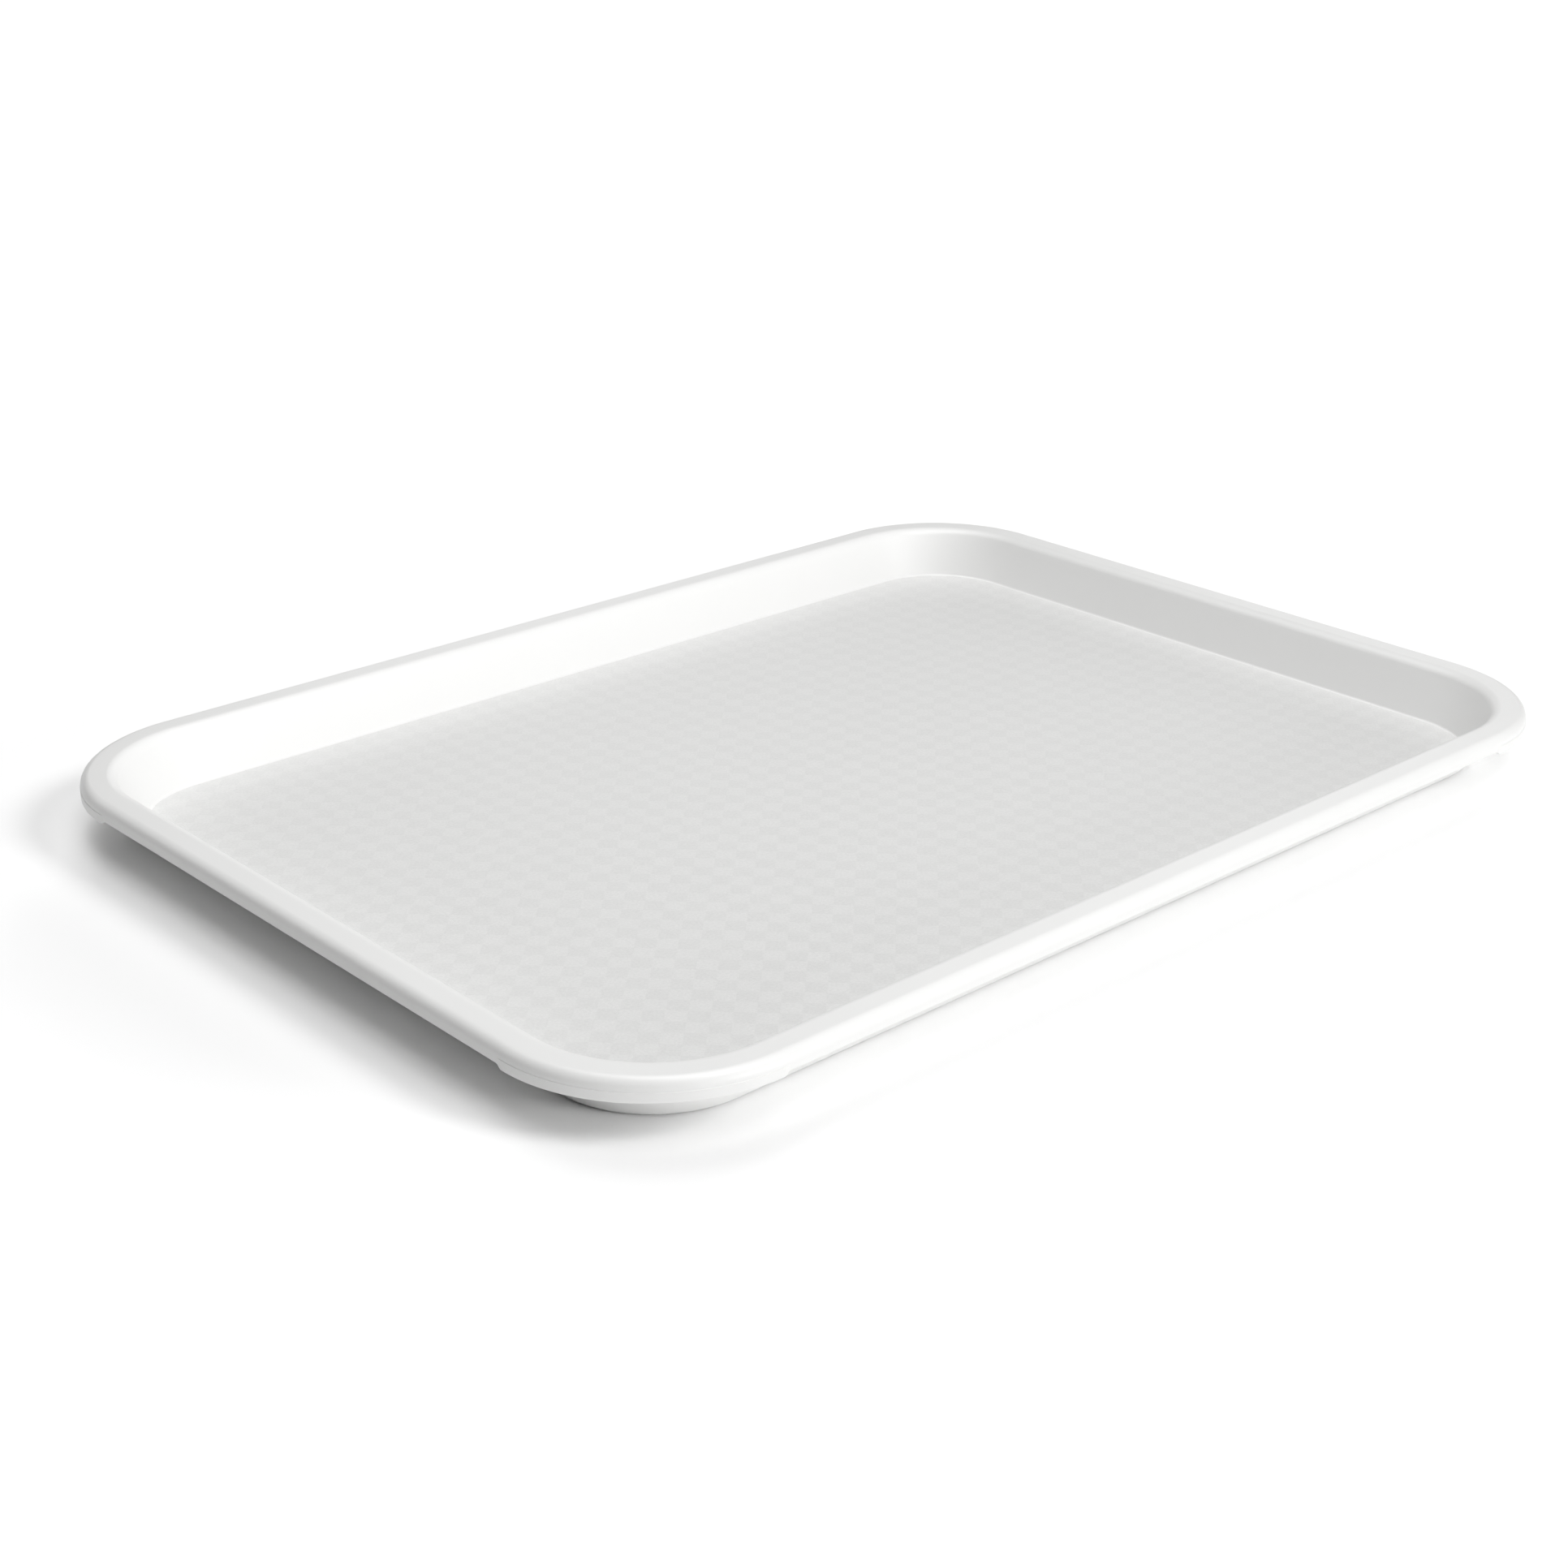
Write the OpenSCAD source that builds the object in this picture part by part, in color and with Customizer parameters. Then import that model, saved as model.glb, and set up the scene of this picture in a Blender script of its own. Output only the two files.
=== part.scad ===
// Stackable serving tray, injection moulded in one piece.
// +X runs along the long side, +Y along the short side, +Z up.
// The origin is the centre of the footprint, on the table.
//
// The rim, the wall of the well and the foot ring are one section of even
// thickness, swept round a rounded rectangle. The section is drawn in (inset,
// height): inset is measured inward from the tray's outermost face.

/* [Tray] */
// Overall length, over the stacking lugs
tray_length = 415; // [320:5:560]
// Overall width, over the stacking lugs
tray_width = 305; // [240:5:420]
// Overall height above the table
tray_height = 20; // [17:0.5:30]
// Plan radius of the outer corners
corner_radius = 50; // [44:1:80]
// Thickness of the moulded skin
skin = 2; // [1.6:0.1:2.4]

/* [Rim] */
// Width of the flat land on top of the rim
land_width = 5; // [3:0.5:8]
// Radius of the rim's outer shoulder
outer_shoulder = 3; // [2.5:0.1:3.4]
// Radius of the shoulder that turns down into the well
inner_shoulder = 4; // [3:0.1:5]
// Depth of the skirt that hangs from the rim's outer edge
skirt_depth = 5.4; // [4.6:0.1:6.4]

/* [Well] */
// Slope of the well's wall, in degrees from the table
wall_slope = 66; // [60:1:74]
// Height of the well's floor above the table
floor_height = 2.5; // [2.4:0.1:3]
// Radius inside the well, at the foot of the wall
foot_radius = 1; // [0.6:0.1:2]

/* [Base] */
// Radius of the outside bottom edge
base_radius = 2; // [1:0.1:2.5]
// Width of the flat ring that the tray stands on
ring_width = 8; // [5:0.5:9]
// Height that the middle of the base is raised clear of the table
base_relief = 0.5; // [0.3:0.1:0.6]
// Diameter of the dimple at the moulding gate
gate_diameter = 12; // [8:1:20]

/* [Stacking lugs] */
// How far each corner lug hangs below the skirt
lug_drop = 1.1; // [0.6:0.1:1.6]
// Height of the lug's outer band, from its underside to the parting line
lug_band = 3.1; // [2.4:0.1:3.4]
// How far the band stands proud of the rim's face
lug_proud = 0.15; // [0.1:0.05:0.3]
// Length of the ramp at each end of a lug
lug_ramp = 2.2; // [1.5:0.1:4]
// Ribs behind each lug, which carry the tray above
rib_count = 5; // [3:1:7]
// Thickness of a rib
rib_thickness = 1.6; // [1.2:0.1:2]

/* [Hidden] */

moulded_white = [0.95, 0.95, 0.94];
arc_steps = 6;              // flats in each rounded stretch of the section
edge_radius = 0.4;          // broken edges along the underside of the skirt and lugs
bite = 0.6;                 // how far a rib runs into the skin
gate_depth = 0.4;
gate_nib = [2.4, 0.3];      // diameter and height of the trimmed sprue

rim_face = lug_proud;
skirt_z = tray_height - skirt_depth;
lug_z = skirt_z - lug_drop;
parting_z = lug_z + lug_band;

// Centres of the section's bends.
outer_bend = [rim_face + outer_shoulder, tray_height - outer_shoulder];
inner_bend = [outer_bend.x + land_width, tray_height - inner_shoulder];
foot_bend = [
    wall_inset(inner_shoulder, floor_height) + foot_radius * tan(wall_slope / 2),
    floor_height + foot_radius
];
base_bend = [
    wall_inset(inner_shoulder - skin, 0) + base_radius * tan(wall_slope / 2),
    base_radius
];
ring_inset = base_bend.x + ring_width;
plate_inset = ring_inset + 2 * base_relief;

// Inset of the sloping wall at height z, on the side of the skin that leaves
// the inner bend at radius r: inner_shoulder inside the well, less skin outside.
function wall_inset(r, z) =
    inner_bend.x + r * sin(wall_slope)
    + (inner_bend.y + r * cos(wall_slope) - z) / tan(wall_slope);

// Points of a bend. The angle is that of the surface's normal, from straight
// up, towards the well; a negative radius gives a hollow bend.
function bend(centre, r, from, to) = [
    for (i = [0:arc_steps])
        let (a = from + (to - from) * i / arc_steps)
        centre + r * [sin(a), cos(a)]
];

// The bottom edge of a hanging wall from inset a to inset b, both corners broken.
function hanging_edge(a, b, z) = concat(
    bend([b - edge_radius, z + edge_radius], edge_radius, 90, 180),
    bend([a + edge_radius, z + edge_radius], edge_radius, -180, -90)
);

// Skirt, shoulders, land, wall, foot and standing ring, as one skin.
module rim_section() {
    polygon(concat(
        hanging_edge(rim_face, rim_face + skin, skirt_z),
        bend(outer_bend, outer_shoulder, -90, 0),
        bend(inner_bend, inner_shoulder, 0, wall_slope),
        bend(foot_bend, -foot_radius, wall_slope, 0),
        [
            [plate_inset, floor_height],
            [plate_inset, base_relief],
            [ring_inset + base_relief, base_relief],
            [ring_inset, 0]
        ],
        bend(base_bend, -base_radius, 0, wall_slope),
        bend(inner_bend, inner_shoulder - skin, wall_slope, 0),
        bend(outer_bend, outer_shoulder - skin, 0, -90)
    ));
}

// The lug's band, flush with the skirt behind and proud of it in front.
module lug_section() {
    polygon(concat(
        hanging_edge(0, rim_face + skin, lug_z),
        [[0, parting_z], [rim_face + skin, parting_z]]
    ));
}

// A stacking rib, between the skirt and the outside of the wall. Its edge runs
// inside the skin, a bite away from the skin's inner face all round.
module rib_section() {
    polygon(concat(
        [
            [rim_face + skin - bite, lug_z],
            [wall_inset(inner_shoulder - skin + bite, lug_z), lug_z]
        ],
        bend(inner_bend, inner_shoulder - skin + bite, wall_slope, 0),
        bend(outer_bend, outer_shoulder - skin + bite, 0, -90)
    ));
}

// Puts its children at the four corner centres, turned to face outward.
module at_corners() {
    for (quarter = [0:3])
        translate([
            (quarter == 0 || quarter == 3 ? 1 : -1) * (tray_length / 2 - corner_radius),
            (quarter < 2 ? 1 : -1) * (tray_width / 2 - corner_radius),
            0
        ])
            rotate([0, 0, 90 * quarter])
                children();
}

// Places a section with its inset running in from the corner's outer face.
module inset_to_radius() {
    translate([corner_radius, 0])
        mirror([1, 0])
            children();
}

// Stands a section up in the radial plane, centred on a given thickness.
module upright(thickness) {
    rotate([90, 0, 0])
        translate([0, 0, -thickness / 2])
            linear_extrude(thickness)
                inset_to_radius()
                    children();
}

// Sweeps a section all round the tray: four quarter turns and four straights.
module sweep_round() {
    at_corners()
        rotate_extrude(angle = 90)
            inset_to_radius()
                children();
    for (side = [0:3]) {
        run = (side % 2 == 0 ? tray_width : tray_length) - 2 * corner_radius;
        reach = (side % 2 == 0 ? tray_length : tray_width) / 2 - corner_radius;
        rotate([0, 0, 90 * side])
            translate([reach, 0, 0])
                upright(run)
                    children();
    }
}

module rim_and_wall() {
    sweep_round()
        rim_section();
}

// The plate inside the ring. Its edge lies within the swept section, half way
// along the stretch where that is as thick as the plate.
module floor_plate() {
    radius = corner_radius - plate_inset + base_relief / 2;
    size = [tray_length, tray_width] - [2, 2] * corner_radius;
    translate([0, 0, base_relief])
        linear_extrude(floor_height - base_relief)
            union() {
                square(size + [2 * radius, 0], center = true);
                square(size + [0, 2 * radius], center = true);
                for (x = [-1, 1], y = [-1, 1])
                    translate([x * size.x / 2, y * size.y / 2])
                        circle(radius, $fn = 96);
            }
}

// A quarter-turn band under each corner of the rim, run out on a short ramp
// along both neighbouring sides.
module stacking_lugs() {
    at_corners() {
        rotate_extrude(angle = 90)
            inset_to_radius()
                lug_section();
        lug_runout();
        rotate([0, 0, 90])
            mirror([0, 1, 0])
                lug_runout();
    }
}

module lug_runout() {
    thickness = rim_face + skin;
    translate([corner_radius - thickness, 0, 0])
        rotate([90, 0, 90])
            linear_extrude(thickness)
                polygon([[0, lug_z], [0, parting_z], [-lug_ramp, parting_z], [-lug_ramp, skirt_z]]);
}

module stacking_ribs() {
    at_corners()
        for (i = [1:rib_count])
            rotate([0, 0, 90 * i / (rib_count + 1)])
                upright(rib_thickness)
                    rib_section();
}

// The dimple under the middle of the floor, with the trimmed sprue left in it.
module gate_dimple() {
    translate([0, 0, base_relief])
        difference() {
            translate([0, 0, -1])
                cylinder(h = 1 + gate_depth, d = gate_diameter, $fn = 64);
            translate([0, 0, gate_depth - gate_nib[1]])
                cylinder(h = 1, d = gate_nib[0], $fn = 32);
        }
}

module tray() {
    color(moulded_white)
        difference() {
            union() {
                rim_and_wall();
                floor_plate();
                stacking_lugs();
                stacking_ribs();
            }
            gate_dimple();
        }
}

tray();
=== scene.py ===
# A stackable serving tray, one white polypropylene moulding, on a pale studio floor.
# +X runs along the long side, +Y along the short side, +Z up.
from math import ceil, cos, pi, radians, sin, sqrt, tan

import bmesh
import bpy
from mathutils import Matrix, Vector


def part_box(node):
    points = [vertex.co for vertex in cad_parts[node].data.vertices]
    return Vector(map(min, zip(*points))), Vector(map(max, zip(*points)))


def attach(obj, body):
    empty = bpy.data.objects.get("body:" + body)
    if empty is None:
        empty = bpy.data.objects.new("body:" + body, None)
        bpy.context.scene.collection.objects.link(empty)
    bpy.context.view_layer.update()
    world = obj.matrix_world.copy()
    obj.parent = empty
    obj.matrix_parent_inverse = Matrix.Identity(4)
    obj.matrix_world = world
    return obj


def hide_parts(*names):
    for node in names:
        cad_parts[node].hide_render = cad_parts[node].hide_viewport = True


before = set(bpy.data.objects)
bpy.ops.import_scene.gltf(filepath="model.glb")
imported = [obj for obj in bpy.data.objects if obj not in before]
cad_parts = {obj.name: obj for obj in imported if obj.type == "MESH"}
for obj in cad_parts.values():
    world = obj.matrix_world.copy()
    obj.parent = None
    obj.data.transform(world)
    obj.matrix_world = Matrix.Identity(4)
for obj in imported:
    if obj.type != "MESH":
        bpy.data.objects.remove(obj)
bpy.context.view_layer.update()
mm = 0.001
trayLow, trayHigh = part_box("tray")
trayLength, trayWidth, trayHeight = ((b - a) / mm for a, b in zip(trayLow, trayHigh))
print("Frame loaded, tray %.0f x %.0f x %.0f mm" % (trayLength, trayWidth, trayHeight))


cameraSettings = {
    "aim": (-10.7, 9.4, 0),     # mm, the spot on the floor in the middle of the view
    "azimuth": -42.29,          # degrees, over the tray's near left corner
    "elevation": 22.92,
    "roll": 0.08,
    "distance": 821.3,          # mm
    "lens": 57.1,               # mm, on the sensor below
    "sensor": 36,
    "clip": (0.01, 100),        # m
}


def makeCamera(s):
    az, el, roll = radians(s["azimuth"]), radians(s["elevation"]), radians(s["roll"])
    back = Vector((sin(az) * cos(el), -cos(az) * cos(el), sin(el)))
    level = Vector((cos(az), sin(az), 0))
    upright = back.cross(level)
    right = level * cos(roll) + upright * sin(roll)
    up = upright * cos(roll) - level * sin(roll)
    lens = bpy.data.cameras.new("camera")
    lens.lens = s["lens"]
    lens.sensor_width = s["sensor"]
    lens.clip_start, lens.clip_end = s["clip"]
    camera = bpy.data.objects.new("camera", lens)
    bpy.context.scene.collection.objects.link(camera)
    turn = Matrix((right, up, back)).transposed().to_4x4()
    camera.matrix_world = Matrix.Translation((Vector(s["aim"]) + back * s["distance"]) * mm) @ turn
    bpy.context.scene.camera = camera


makeCamera(cameraSettings)
print("Camera placed")


def linearColour(hexCode):
    # an sRGB hex colour, turned to the linear values that Blender wants
    parts = [int(hexCode[i:i + 2], 16) / 255 for i in (1, 3, 5)]
    return [p / 12.92 if p <= 0.04045 else ((p + 0.055) / 1.055) ** 2.4 for p in parts] + [1]


def addNode(tree, kind, inputs=None, **settings):
    # adds a node; an input is either a value or another node's output socket
    node = tree.nodes.new(kind)
    for name, value in settings.items():
        setattr(node, name, value)
    for name, value in (inputs or {}).items():
        if isinstance(value, bpy.types.NodeSocket):
            tree.links.new(value, node.inputs[name])
        else:
            node.inputs[name].default_value = value
    return node


def newMaterial(name):
    material = bpy.data.materials.new(name)
    material.use_nodes = True
    material.node_tree.nodes.clear()
    return material, material.node_tree


# Polypropylene filled with titanium white. Where the steel mould was polished the
# skin is smooth with a soft gloss, and very slightly wavy where the plastic shrank.
polishedPolypropylene = {
    "colour": "#ECECEB",
    "ior": 1.49,
    "roughness": 0.38,
    "roughnessSpread": 0.03,
    "wave": 14,             # mm, length of the shrinkage waves
    "waveDepth": 0.003,     # mm
    "grain": 0.9,           # mm; the real polish marks are finer, drawn as coarse as they show
    "grainDepth": 0.0015,   # mm
}


def makePolished(name, s):
    material, tree = newMaterial(name)
    place = addNode(tree, "ShaderNodeTexCoord").outputs["Object"]
    wave = addNode(tree, "ShaderNodeTexNoise", {
        "Vector": place, "Scale": 1 / (s["wave"] * mm), "Detail": 1.0})
    grain = addNode(tree, "ShaderNodeTexNoise", {
        "Vector": place, "Scale": 1 / (s["grain"] * mm), "Detail": 2.0})
    patchy = addNode(tree, "ShaderNodeMapRange", {
        "Value": wave.outputs["Fac"], "From Min": 0.2, "From Max": 0.8,
        "To Min": s["roughness"] - s["roughnessSpread"],
        "To Max": s["roughness"] + s["roughnessSpread"],
    }, interpolation_type="SMOOTHSTEP")
    wavy = addNode(tree, "ShaderNodeBump", {
        "Height": wave.outputs["Fac"], "Distance": s["waveDepth"] * mm})
    grainy = addNode(tree, "ShaderNodeBump", {
        "Height": grain.outputs["Fac"], "Distance": s["grainDepth"] * mm,
        "Normal": wavy.outputs["Normal"]})
    shader = addNode(tree, "ShaderNodeBsdfPrincipled", {
        "Base Color": linearColour(s["colour"]), "IOR": s["ior"],
        "Roughness": patchy.outputs["Result"], "Normal": grainy.outputs["Normal"]})
    addNode(tree, "ShaderNodeOutputMaterial", {"Surface": shader.outputs["BSDF"]})
    return material


# The well's floor is moulded against etched steel: a fine matt grain that scatters the light.
# Its colours are darker than the polished rim's. Part of that is the etch's fine grain, and part
# is painted shade standing in for the shade in the well and the gloss the rim catches. The raised
# squares of the weave are a shade darker still, which is painted shade for the dark surroundings
# their gloss reflects, and being the finer etch they keep a little more gloss than the low ones.
etchedPolypropylene = {
    # painted shade: the raised squares' colour is three steps darker than the low squares'
    "raised": {"colour": "#DEDEDD", "roughness": 0.45},
    "low": {"colour": "#E1E1E0", "roughness": 0.55},
    "roughnessSpread": 0.04,
    "ior": 1.49,
    "grain": 0.8,           # mm; the etch is about 0.2 mm, drawn as coarse as it shows
    "grainDepth": 0.06,     # mm
    "speckle": 0.1,         # share of the colour, light and dark within the grain
    "mottle": 9,            # mm, slow change of tone along the flow of the melt
    "mottleDepth": 0.015,   # share of the colour
}


def makeEtched(name, s, finish):
    material, tree = newMaterial(name)
    place = addNode(tree, "ShaderNodeTexCoord").outputs["Object"]
    grain = addNode(tree, "ShaderNodeTexNoise", {
        "Vector": place, "Scale": 1 / (s["grain"] * mm), "Detail": 3.0, "Roughness": 0.6})
    mottle = addNode(tree, "ShaderNodeTexNoise", {
        "Vector": place, "Scale": 1 / (s["mottle"] * mm), "Detail": 2.0})
    # dark and light flecks, once in the darker and once in the lighter tone of the mottle
    base = linearColour(finish["colour"])[:3]
    tones = []
    for depth in (-s["mottleDepth"], s["mottleDepth"]):
        dark, light = ([min(1, c * (1 + depth + fleck)) for c in base] + [1]
                       for fleck in (-s["speckle"], s["speckle"]))
        tones.append(addNode(tree, "ShaderNodeMix", {
            "Factor": grain.outputs["Fac"], 6: dark, 7: light}, data_type="RGBA").outputs[2])
    tone = addNode(tree, "ShaderNodeMix", {
        "Factor": mottle.outputs["Fac"], 6: tones[0], 7: tones[1]}, data_type="RGBA")
    pitted = addNode(tree, "ShaderNodeBump", {
        "Height": grain.outputs["Fac"], "Distance": s["grainDepth"] * mm})
    matt = addNode(tree, "ShaderNodeMapRange", {
        "Value": grain.outputs["Fac"], "From Min": 0.2, "From Max": 0.8,
        "To Min": finish["roughness"] - s["roughnessSpread"],
        "To Max": finish["roughness"] + s["roughnessSpread"],
    }, interpolation_type="SMOOTHSTEP")
    shader = addNode(tree, "ShaderNodeBsdfPrincipled", {
        "Base Color": tone.outputs[2], "IOR": s["ior"],
        "Roughness": matt.outputs["Result"], "Normal": pitted.outputs["Normal"]})
    addNode(tree, "ShaderNodeOutputMaterial", {"Surface": shader.outputs["BSDF"]})
    return material


polished = makePolished("moulded polypropylene, polished", polishedPolypropylene)
etchedRaisedPaintedShade = makeEtched("moulded polypropylene, fine etch",
                          etchedPolypropylene, etchedPolypropylene["raised"])
etchedLow = makeEtched("moulded polypropylene, coarse etch",
                       etchedPolypropylene, etchedPolypropylene["low"])
print("Materials made")


# All in mm. Insets are measured inward from the tray's outermost face.
traySettings = {
    "cornerRadius": 50,
    "skin": 2,
    "landWidth": 5,
    "outerShoulder": 3,
    "innerShoulder": 4,
    "skirtDepth": 5.4,
    "wallSlope": 66,            # degrees from the table
    "floorHeight": 2.5,
    "footRadius": 1,
    "baseRadius": 2,
    "ringWidth": 8,
    "baseRelief": 0.5,
    "lugDrop": 1.1,
    "lugBand": 3.1,
    "lugProud": 0.15,
    "lugRamp": 2.2,
    "edgeRadius": 0.4,
    "ledge": 0.12,              # height of the slope at the top of the lug's band
    "ribCount": 5,
    "ribThickness": 1.6,
    "ribRound": 0.2,
    "bite": 0.6,                # how far a rib runs into the skin
    "gateRadius": 6,
    "gateDepth": 0.4,
    "gateRound": (0.15, 0.04),  # a rounded edge: where it starts, and how near the corner it passes
    "gateNib": (1.2, 0.3),      # radius and height of the trimmed sprue
    "nibRound": (0.12, 0.06),   # at the sprue's foot and round its top
    "gateSteps": 64,
    "cornerSteps": 40,
    "rampSteps": 6,
    "sideSteps": 8,
    "bendSteps": 12,            # on the bends in full view
    "lowerSteps": 8,            # on the bends at the foot and behind the wall
    "backSteps": 6,             # behind the outer shoulder
    "edgeSteps": (4, 5),        # round the hanging edge, inside and outside
    "ribSteps": (6, 4, 3),      # under the inner bend, under the outer one, along the foot
}
weaveSettings = {
    "square": 6.17,             # mm, side of a square, which is turned 45 degrees to the tray
    "centre": (0.2, -2.35),     # mm, middle of one raised square
    "raise": 0.03,
    "bevel": 0.7,
    "bevelCurve": ((0.25, 0.12), (0.5, 0.5), (0.75, 0.88), (1.0, 1.0)),  # way in, way up
    "under": 0.55,              # how far the pattern runs on under the foot of the wall
    "cornerCuts": 24,
}


class Section:
    # the rim, wall and foot as one skin, drawn in (inset, height)
    def __init__(self, s):
        self.s = s
        self.slope = radians(s["wallSlope"])
        self.outerBend = (s["lugProud"] + s["outerShoulder"], trayHeight - s["outerShoulder"])
        self.innerBend = (self.outerBend[0] + s["landWidth"], trayHeight - s["innerShoulder"])
        turn = tan(self.slope / 2)
        self.footBend = (
            self.wallInset(s["innerShoulder"], s["floorHeight"]) + s["footRadius"] * turn,
            s["floorHeight"] + s["footRadius"])
        self.baseBend = (
            self.wallInset(s["innerShoulder"] - s["skin"], 0) + s["baseRadius"] * turn,
            s["baseRadius"])
        self.ringInset = self.baseBend[0] + s["ringWidth"]
        self.plateInset = self.ringInset + 2 * s["baseRelief"]
        self.skirtFoot = trayHeight - s["skirtDepth"]
        self.lugFoot = self.skirtFoot - s["lugDrop"]
        self.parting = self.lugFoot + s["lugBand"]

    def wallInset(self, radius, z):
        # the sloping wall at height z, on the side that leaves the inner bend at this radius
        x, y = self.innerBend
        return x + radius * sin(self.slope) + (y + radius * cos(self.slope) - z) / tan(self.slope)

    def bend(self, centre, radius, start, end, steps):
        # angles are the normal's, from straight up; a negative radius is a hollow bend
        angles = [start + (end - start) * i / steps for i in range(steps + 1)]
        return [(centre[0] + radius * sin(a), centre[1] + radius * cos(a)) for a in angles]

    def points(self, lug):
        # from the base's flat, out and up under the rim, over it, and down to the well's
        # floor; lug is 1 at a corner lug and 0 along a side
        s, bend, slope = self.s, self.bend, self.slope
        foot = self.skirtFoot - lug * s["lugDrop"]
        face = s["lugProud"] * (1 - lug)
        back = s["lugProud"] + s["skin"]
        e = s["edgeRadius"]
        full, lower = s["bendSteps"], s["lowerSteps"]
        return (
            [(self.plateInset, s["baseRelief"]),
             (self.ringInset + s["baseRelief"], s["baseRelief"]),
             (self.ringInset, 0)]
            + bend(self.baseBend, -s["baseRadius"], 0, slope, lower)
            + bend(self.innerBend, s["innerShoulder"] - s["skin"], slope, 0, lower)
            + bend(self.outerBend, s["outerShoulder"] - s["skin"], 0, -pi / 2, s["backSteps"])
            + bend((back - e, foot + e), e, pi / 2, pi, s["edgeSteps"][0])
            + bend((face + e, foot + e), e, -pi, -pi / 2, s["edgeSteps"][1])
            + [(face, self.parting - s["ledge"]), (s["lugProud"], self.parting)]
            + bend(self.outerBend, s["outerShoulder"], -pi / 2, 0, full)
            + bend(self.innerBend, s["innerShoulder"], 0, slope, full)
            + bend(self.footBend, -s["footRadius"], slope, 0, lower)
        )


def easeInOut(t):
    t = min(max(t, 0), 1)
    return t * t * (3 - 2 * t)


def outward(angle):
    return Vector((cos(angle), sin(angle), 0))


def cornerReach(s):
    # from the tray's middle to the middle of a rounded corner, along X and Y
    return trayLength / 2 - s["cornerRadius"], trayWidth / 2 - s["cornerRadius"]


def cornerCentre(s, quarter):
    # quarters are counted round from the +X +Y corner
    x, y = cornerReach(s)
    return Vector((x if quarter in (0, 3) else -x, y if quarter < 2 else -y, 0))


def sectionPoint(s, centre, out, inset, aside, z):
    # a point of the section in metres, on the way out from a corner's centre or beside it
    return (centre + out * (s["cornerRadius"] - inset) + aside + Vector((0, 0, z))) * mm


def stations(s):
    # once round the tray: corner centre, direction out, run along the side, and how much lug
    for quarter in range(4):
        centre = cornerCentre(s, quarter)
        for i in range(s["cornerSteps"]):
            yield centre, radians(90 * (quarter + i / s["cornerSteps"])), 0, 1
        side = 2 * cornerReach(s)[quarter % 2]
        ramp = [s["lugRamp"] * i / s["rampSteps"] for i in range(s["rampSteps"] + 1)]
        straight = side - 2 * ramp[-1]
        middle = [ramp[-1] + straight * i / s["sideSteps"] for i in range(1, s["sideSteps"])]
        for run in ramp + middle + [side - r for r in reversed(ramp[1:])]:
            lug = 1 - easeInOut(min(run, side - run) / s["lugRamp"])
            yield centre, radians(90 * (quarter + 1)), run, lug


def sweepSkin(mesh, section, s):
    rings = []
    for centre, angle, run, lug in stations(s):
        out, aside = outward(angle), outward(angle + pi / 2) * run
        rings.append([mesh.verts.new(sectionPoint(s, centre, out, inset, aside, z))
                      for inset, z in section.points(lug)])
    for ring, following in zip(rings, rings[1:] + rings[:1]):
        for j in range(len(ring) - 1):
            mesh.faces.new((ring[j], following[j], following[j + 1], ring[j + 1]))
    # the parting line is a crisp edge, above and below its slope
    for vertex in [v for ring in rings for v in ring]:
        height = vertex.co.z / mm
        for line in (section.parting - s["ledge"], section.parting):
            if abs(height - line) < 1e-3:
                for edge in vertex.link_edges:
                    if abs(edge.other_vert(vertex).co.z - vertex.co.z) < 1e-7:
                        edge.smooth = False
    return [ring[0] for ring in rings]


def lathe(mesh, profile, steps):
    # turns (radius, height) points about the tray's middle and closes the last ring
    ways = [outward(2 * pi * i / steps) for i in range(steps)]
    rings = [[mesh.verts.new((way * r + Vector((0, 0, z))) * mm) for way in ways]
             for r, z in profile]
    for ring, following in zip(rings, rings[1:]):
        for i in range(steps):
            n = (i + 1) % steps
            mesh.faces.new((ring[i], following[i], following[n], ring[n]))
    mesh.faces.new(list(reversed(rings[-1])))
    return rings[0]


def loopEdges(mesh, loop):
    edges = []
    for a, b in zip(loop, loop[1:] + loop[:1]):
        edges.append(mesh.edges.get((a, b)) or mesh.edges.new((a, b)))
    return edges


def addBase(mesh, outline, s):
    # the flat underside, with the dimple at the gate and the sprue's stub left in it
    flat, deep = s["baseRelief"], s["baseRelief"] + s["gateDepth"]
    nib, stub = s["gateNib"][0], deep - s["gateNib"][1]
    r = s["gateRadius"]
    start, near = s["gateRound"]
    foot, top = s["nibRound"]
    dimple = lathe(mesh, [
        (r + start, flat), (r + near, flat + near), (r, flat + start),
        (r, deep - start), (r - near, deep - near), (r - start, deep),
        (nib + start, deep), (nib + near, deep - near), (nib, deep - foot),
        (nib, stub + top), (nib - top, stub)], s["gateSteps"])
    filled = bmesh.ops.triangle_fill(mesh, use_beauty=True,
                                     edges=loopEdges(mesh, outline) + loopEdges(mesh, dimple))
    for face in [f for f in filled["geom"] if isinstance(f, bmesh.types.BMFace)]:
        if face.normal.z > 0:
            face.normal_flip()


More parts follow.
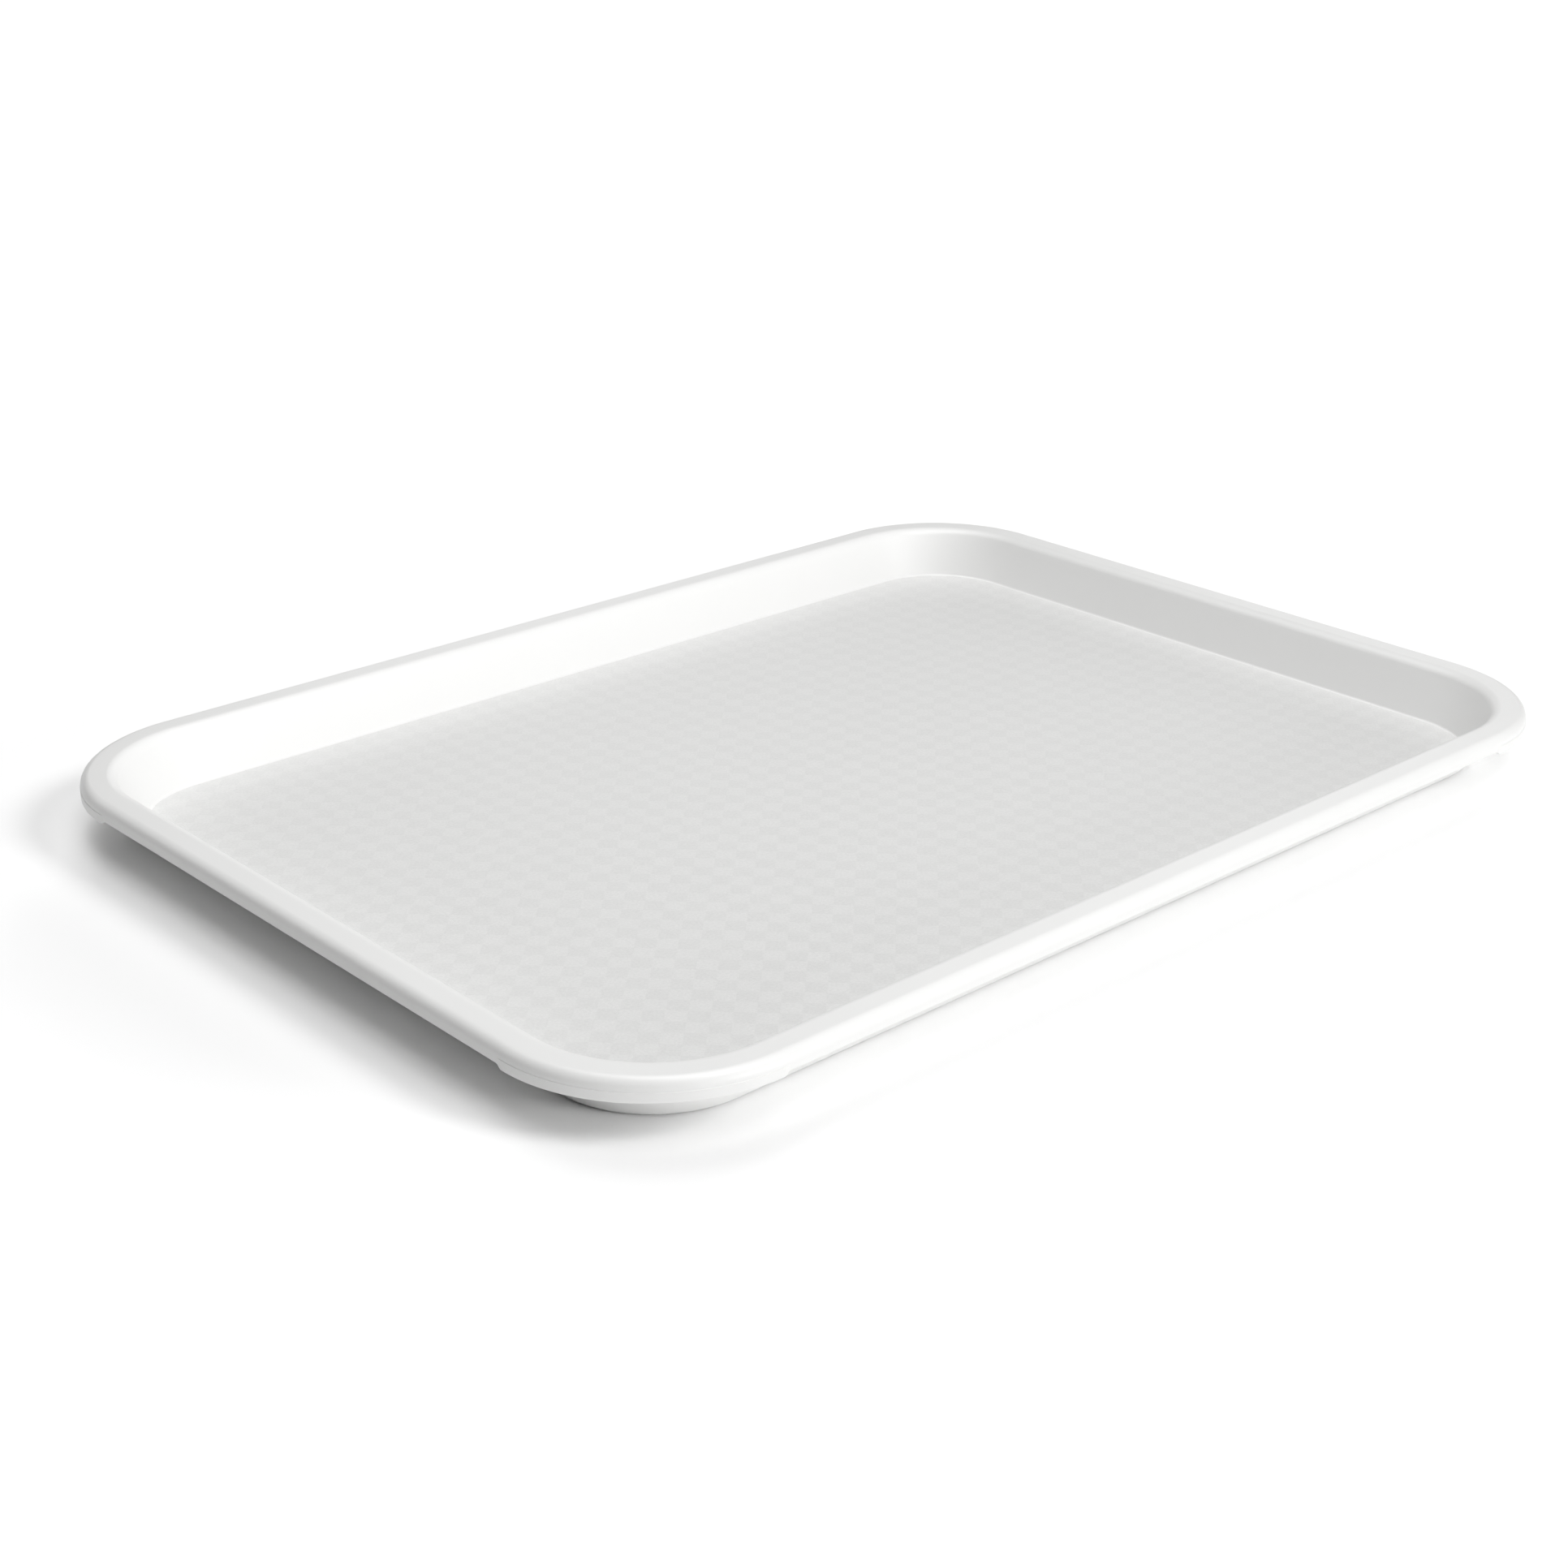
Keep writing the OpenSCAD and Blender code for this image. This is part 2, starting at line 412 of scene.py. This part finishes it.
def addRibs(mesh, section, s):
    # ribs in each corner, between the skirt and the back of the wall; their edge runs
    # inside the skin
    inner, outer = (s[name] - s["skin"] + s["bite"] for name in ("innerShoulder", "outerShoulder"))
    low = section.lugFoot
    innerSteps, outerSteps, footSteps = s["ribSteps"]
    profile = (
        [(section.outerBend[0] - outer, low), (section.wallInset(inner, low), low)]
        + section.bend(section.innerBend, inner, section.slope, 0, innerSteps)
        + section.bend(section.outerBend, outer, 0, -pi / 2, outerSteps))
    for quarter in range(4):
        centre = cornerCentre(s, quarter)
        for i in range(s["ribCount"]):
            angle = radians(90 * (quarter + (i + 1) / (s["ribCount"] + 1)))
            out, along = outward(angle), outward(angle + pi / 2) * s["ribThickness"] / 2
            left, right = ([mesh.verts.new(sectionPoint(s, centre, out, x, along * side, z))
                            for x, z in profile] for side in (-1, 1))
            faces = [mesh.faces.new(list(reversed(left))), mesh.faces.new(right)]
            for a, b, c, d in zip(left, left[1:] + left[:1], right[1:] + right[:1], right):
                faces.append(mesh.faces.new((a, b, c, d)))
            foot = [e for e in dict.fromkeys(e for f in faces for e in f.edges)
                    if all(v.co.z < (low + 0.01) * mm for v in e.verts)]
            bmesh.ops.bevel(mesh, geom=foot, offset=s["ribRound"] * mm, segments=footSteps,
                            profile=0.5, affect="EDGES")


def weavePanel(section, s, w):
    # the well's floor: a checkerboard of flat squares standing on their corners
    panel = bmesh.new()
    size, half = w["square"], w["square"] / 2
    low = s["floorHeight"]
    inset = section.footBend[0] - w["under"]
    reach = (trayLength / 2 - inset, trayWidth / 2 - inset)
    turn = Matrix.Rotation(pi / 4, 3, "Z")
    shift = Vector((w["centre"][0], w["centre"][1], 0))
    count = ceil((reach[0] + reach[1]) / sqrt(2) / size) + 1
    grid = {}

    def corner(i, j):
        if (i, j) not in grid:
            spot = turn @ Vector(((i - 0.5) * size, (j - 0.5) * size, 0)) + shift
            grid[i, j] = panel.verts.new((spot + Vector((0, 0, low))) * mm)
        return grid[i, j]

    for i in range(-count, count + 1):
        for j in range(-count, count + 1):
            middle = turn @ Vector((i * size, j * size, 0)) + shift
            if abs(middle.x) > reach[0] + size or abs(middle.y) > reach[1] + size:
                continue
            rings = [[corner(i, j), corner(i + 1, j), corner(i + 1, j + 1), corner(i, j + 1)]]
            if (i + j) % 2 == 0:
                for pull, rise in w["bevelCurve"]:
                    side = half - w["bevel"] * pull
                    up = Vector((0, 0, low + w["raise"] * rise))
                    rings.append([
                        panel.verts.new((middle + turn @ Vector((x * side, y * side, 0)) + up) * mm)
                        for x, y in ((-1, -1), (1, -1), (1, 1), (-1, 1))])
            for ring, following in zip(rings, rings[1:]):
                for k in range(4):
                    n = (k + 1) % 4
                    face = panel.faces.new((ring[k], ring[n], following[n], following[k]))
                    face.material_index = 1
            panel.faces.new(rings[-1]).material_index = 1 if len(rings) > 1 else 2

    # trimmed all round to run in under the foot of the wall
    r = s["cornerRadius"] - inset
    for quarter in range(4):
        centre = cornerCentre(s, quarter)
        for i in range(w["cornerCuts"] + 1):
            out = outward(radians(90 * (quarter + i / w["cornerCuts"])))
            bmesh.ops.bisect_plane(
                panel, geom=panel.verts[:] + panel.edges[:] + panel.faces[:], dist=1e-7,
                plane_co=(centre + out * r) * mm, plane_no=out, clear_outer=True)
    return panel


def makeTray(s, w):
    section = Section(s)
    mesh = bmesh.new()
    addBase(mesh, sweepSkin(mesh, section, s), s)
    addRibs(mesh, section, s)
    floor = bpy.data.meshes.new("floorPattern")
    panel = weavePanel(section, s, w)
    panel.to_mesh(floor)
    mesh.from_mesh(floor)
    panel.free()
    bpy.data.meshes.remove(floor)
    for face in mesh.faces:
        face.smooth = True
    data = bpy.data.meshes.new("servingTray")
    mesh.to_mesh(data)
    mesh.free()
    for material in (polished, etchedRaisedPaintedShade, etchedLow):
        data.materials.append(material)
    tray = bpy.data.objects.new("servingTray", data)
    bpy.context.scene.collection.objects.link(tray)
    # large flats keep their own direction, and the bends between them stay smooth
    weighted = tray.modifiers.new("weightedNormals", "WEIGHTED_NORMAL")
    weighted.mode = "FACE_AREA"
    weighted.weight = 80
    weighted.keep_sharp = True
    return tray


servingTray = makeTray(traySettings, weaveSettings)
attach(servingTray, "root")
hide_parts("tray")
print("Tray made, %d faces" % len(servingTray.data.polygons))


# The tray and the floor have lights of their own, so that the floor burns out to white
# while the tray keeps its greys.
studioSettings = {
    "floorColour": "#FCFCFC",
    "floorSize": 30,            # m
    "farDistance": 3,           # m, where the far lights are drawn
    # large soft sources far off: azimuth from +X and elevation in degrees, width in
    # degrees, strength
    "farLights": {
        "keyLight": (285, 2, 36, 2.1),
        "frontLight": (270, 25, 36, 0.35),
        "backTopLight": (90, 68, 36, 0.18),
        "backLow": (35, 15, 18, 0.1),
        "backLeftLow": (55, 15, 18, 0.08),
    },
    # softboxes near the tray: azimuth, elevation, distance and size in m, power in W
    "softboxes": {
        "overheadBox": (0, 90, 0.9, 0.6, 3.76),
        "frontBox": (270, 60, 0.9, 0.5, 3.2),
        "backBox": (90, 60, 0.9, 0.5, 0.72),
        "backLeftBox": (120, 35, 0.9, 0.5, 0.4),
    },
    # far off as well, and only for the floor
    "floorLights": {
        "floorKeyLow": (300, 6, 18, 2.63),
        "floorKeyHigh": (300, 35, 18, 1.41),
        "floorRight": (40, 6, 18, 2.08),
        "floorBack": (60, 50, 36, 0.88),
        "floorLeft": (240, 50, 36, 0.56),
        "floorBackHigh": (90, 70, 36, 0.39),
        "floorFrontHigh": (270, 70, 36, 0.75),
    },
}


def addLight(name, kind, azimuth, elevation, distance, brightness):
    lamp = bpy.data.lights.new(name, kind)
    lamp.energy = brightness
    light = bpy.data.objects.new(name, lamp)
    bpy.context.scene.collection.objects.link(light)
    az, el = radians(azimuth), radians(elevation)
    way = outward(az) * cos(el) + Vector((0, 0, sin(el)))
    light.location = way * distance
    light.rotation_euler = way.to_track_quat("Z", "Y").to_euler()
    return light


def makeFloor(s):
    mesh = bmesh.new()
    bmesh.ops.create_grid(mesh, x_segments=8, y_segments=8, size=s["floorSize"] / 2)
    data = bpy.data.meshes.new("studioFloor")
    mesh.to_mesh(data)
    mesh.free()
    floor = bpy.data.objects.new("studioFloor", data)
    bpy.context.scene.collection.objects.link(floor)
    floor.location.z = -0.02 * mm       # a hair below the ring that the tray stands on
    material, tree = newMaterial("white painted floor")
    shader = addNode(tree, "ShaderNodeBsdfPrincipled", {
        "Base Color": linearColour(s["floorColour"]), "Roughness": 0.9, "Specular IOR Level": 0.1})
    addNode(tree, "ShaderNodeOutputMaterial", {"Surface": shader.outputs["BSDF"]})
    data.materials.append(material)
    return floor


def lightStudio(s, floor):
    trayOnly, floorOnly = (bpy.data.collections.new(name) for name in ("trayOnly", "floorOnly"))
    trayOnly.objects.link(servingTray)
    floorOnly.objects.link(floor)
    for group, receivers in (("farLights", trayOnly), ("floorLights", floorOnly)):
        for name, (azimuth, elevation, width, strength) in s[group].items():
            light = addLight(name, "SUN", azimuth, elevation, s["farDistance"], strength)
            light.data.angle = radians(width)
            light.light_linking.receiver_collection = receivers
    for name, (azimuth, elevation, distance, size, power) in s["softboxes"].items():
        light = addLight(name, "AREA", azimuth, elevation, distance, power)
        light.data.shape = "DISK"
        light.data.size = size
        light.light_linking.receiver_collection = trayOnly
    # beyond the floor's edge the room is white, but it sheds no light of its own
    world = bpy.data.worlds.new("whiteRoom")
    bpy.context.scene.world = world
    world.use_nodes = True
    world.node_tree.nodes["Background"].inputs["Color"].default_value = (1, 1, 1, 1)
    for ray in ("diffuse", "glossy", "transmission", "scatter"):
        setattr(world.cycles_visibility, ray, False)
    bpy.context.scene.view_settings.view_transform = "Standard"


lightStudio(studioSettings, makeFloor(studioSettings))
print("Studio lit")
